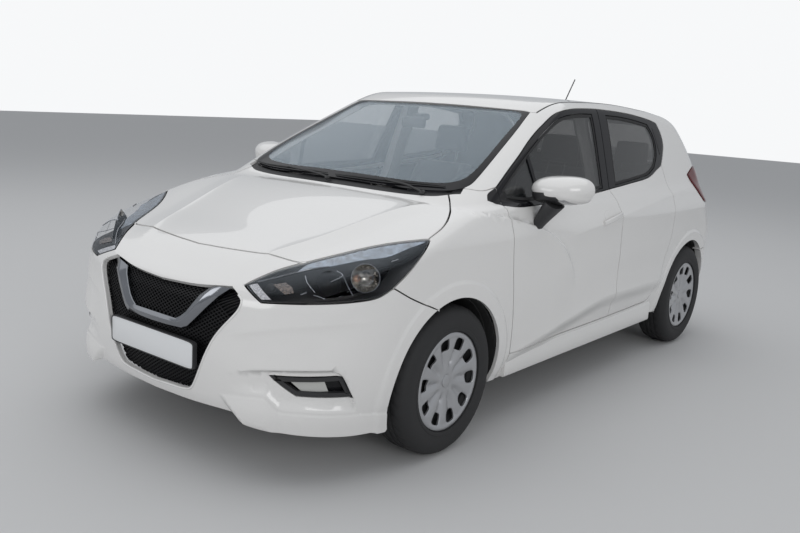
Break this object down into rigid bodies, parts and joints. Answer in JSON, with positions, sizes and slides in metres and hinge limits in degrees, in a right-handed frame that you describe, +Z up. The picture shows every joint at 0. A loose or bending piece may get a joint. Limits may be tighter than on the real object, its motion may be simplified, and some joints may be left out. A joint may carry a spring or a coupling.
{
  "type": "hatchback car",
  "caption": "Compact five-door hatchback car with hollow cabin, hinged doors, bonnet and tailgate, steered front wheels and free-turning road wheels.",
  "frame": {"origin": "on the ground, at the middle of the car's length and width", "axes": "+Z up, -Y towards the nose, +X towards the car's left side"},
  "size_m": [2.136, 3.9988, 1.602],
  "materials": {
    "body_paint": "gloss white",
    "underbody": "satin black",
    "black_plastic": "grained",
    "black_gloss": "gloss",
    "chrome_trim": "polished",
    "lamp_glass": "clear",
    "red_lamp": "gloss",
    "glass_tint": "tinted",
    "tyre": "rubber",
    "wheel_silver": "satin silver",
    "steel": "satin",
    "iron": "cast",
    "seat_fabric": "woven",
    "dash_plastic": "soft grained",
    "plate_white": "blank"
  },
  "bodies": {
    "body": {"body_shell": "body_paint", "cowl": "black_plastic", "windscreen": "glass_tint", "front_bumper": "body_paint", "rear_bumper": "body_paint", "front_wings": "body_paint", "grille": "black_gloss", "grille_bar": "chrome_trim", "headlamps": "lamp_glass", "fog_lamps": "black_plastic", "tail_lamps": "red_lamp", "floor_pan": "underbody", "door_latches": "steel", "dashboard": "dash_plastic", "front_seats": "seat_fabric", "rear_bench": "seat_fabric", "steering_column": "dash_plastic", "engine_block": "iron", "front_suspension": "iron", "rear_axle": "iron", "fuel_tank": "underbody", "exhaust": "steel", "front_plate": "plate_white", "aerial": "black_plastic"},
    "bonnet": {"bonnet": "body_paint"},
    "tailgate": {"tailgate": "body_paint", "rear_screen": "glass_tint", "rear_plate": "plate_white"},
    "front_door_left": {"door_front_left": "body_paint", "door_glass_front_left": "glass_tint", "mirror_left": "body_paint"},
    "front_door_right": {"door_front_right": "body_paint", "door_glass_front_right": "glass_tint", "mirror_right": "body_paint"},
    "rear_door_left": {"door_rear_left": "body_paint", "door_glass_rear_left": "glass_tint"},
    "rear_door_right": {"door_rear_right": "body_paint", "door_glass_rear_right": "glass_tint"},
    "steering_wheel": {"steering_wheel": "dash_plastic"},
    "knuckle_left": {"knuckle_left": "iron"},
    "knuckle_right": {"knuckle_right": "iron"},
    "road_wheel_front_left": {"tyre_front_left": "tyre", "wheel_front_left": "wheel_silver"},
    "road_wheel_front_right": {"tyre_front_right": "tyre", "wheel_front_right": "wheel_silver"},
    "road_wheel_rear_left": {"tyre_rear_left": "tyre", "wheel_rear_left": "wheel_silver"},
    "road_wheel_rear_right": {"tyre_rear_right": "tyre", "wheel_rear_right": "wheel_silver"}
  },
  "joints": [
    {"name": "bonnet_hinge", "type": "hinge", "parent": "body", "child": "bonnet", "pos_m": [0, -0.9535, 1.034], "axis": [-1, 0, 0], "range_deg": [0, 52]},
    {"name": "tailgate_hinge", "type": "hinge", "parent": "body", "child": "tailgate", "pos_m": [0, 1.3045, 1.416], "axis": [1, 0, 0], "range_deg": [0, 78]},
    {"name": "front_door_left_hinge", "type": "hinge", "parent": "body", "child": "front_door_left", "pos_m": [0.86, -0.7375, 0.6], "axis": [0, 0, -1], "range_deg": [0, 66]},
    {"name": "front_door_right_hinge", "type": "hinge", "parent": "body", "child": "front_door_right", "pos_m": [-0.86, -0.7375, 0.6], "axis": [0, 0, 1], "range_deg": [0, 66]},
    {"name": "rear_door_left_hinge", "type": "hinge", "parent": "body", "child": "rear_door_left", "pos_m": [0.86, 0.3365, 0.6], "axis": [0, 0, -1], "range_deg": [0, 66]},
    {"name": "rear_door_right_hinge", "type": "hinge", "parent": "body", "child": "rear_door_right", "pos_m": [-0.86, 0.3365, 0.6], "axis": [0, 0, 1], "range_deg": [0, 66]},
    {"name": "steer_left", "type": "hinge", "parent": "body", "child": "knuckle_left", "pos_m": [0.722, -1.1815, 0.308], "axis": [0, 0, 1], "range_deg": [-33, 33]},
    {"name": "steer_right", "type": "hinge", "parent": "body", "child": "knuckle_right", "pos_m": [-0.722, -1.1815, 0.308], "axis": [0, 0, 1], "range_deg": [-33, 33]},
    {"name": "steering_wheel_turn", "type": "hinge", "parent": "body", "child": "steering_wheel", "pos_m": [0.37, -0.3495, 0.905], "axis": [0, 0.9272, 0.3746], "range_deg": [-500, 500]},
    {"name": "front_left_wheel_spin", "type": "hinge", "parent": "knuckle_left", "child": "road_wheel_front_left", "pos_m": [0.755, -1.1815, 0.308], "axis": [1, 0, 0], "continuous": true},
    {"name": "front_right_wheel_spin", "type": "hinge", "parent": "knuckle_right", "child": "road_wheel_front_right", "pos_m": [-0.755, -1.1815, 0.308], "axis": [1, 0, 0], "continuous": true},
    {"name": "rear_left_wheel_spin", "type": "hinge", "parent": "body", "child": "road_wheel_rear_left", "pos_m": [0.755, 1.3435, 0.308], "axis": [1, 0, 0], "continuous": true},
    {"name": "rear_right_wheel_spin", "type": "hinge", "parent": "body", "child": "road_wheel_rear_right", "pos_m": [-0.755, 1.3435, 0.308], "axis": [1, 0, 0], "continuous": true}
  ],
  "couplings": [
    {"joint": "steer_right", "follows": "steer_left", "ratio": 1},
    {"joint": "steering_wheel_turn", "follows": "steer_left", "ratio": 15}
  ]
}
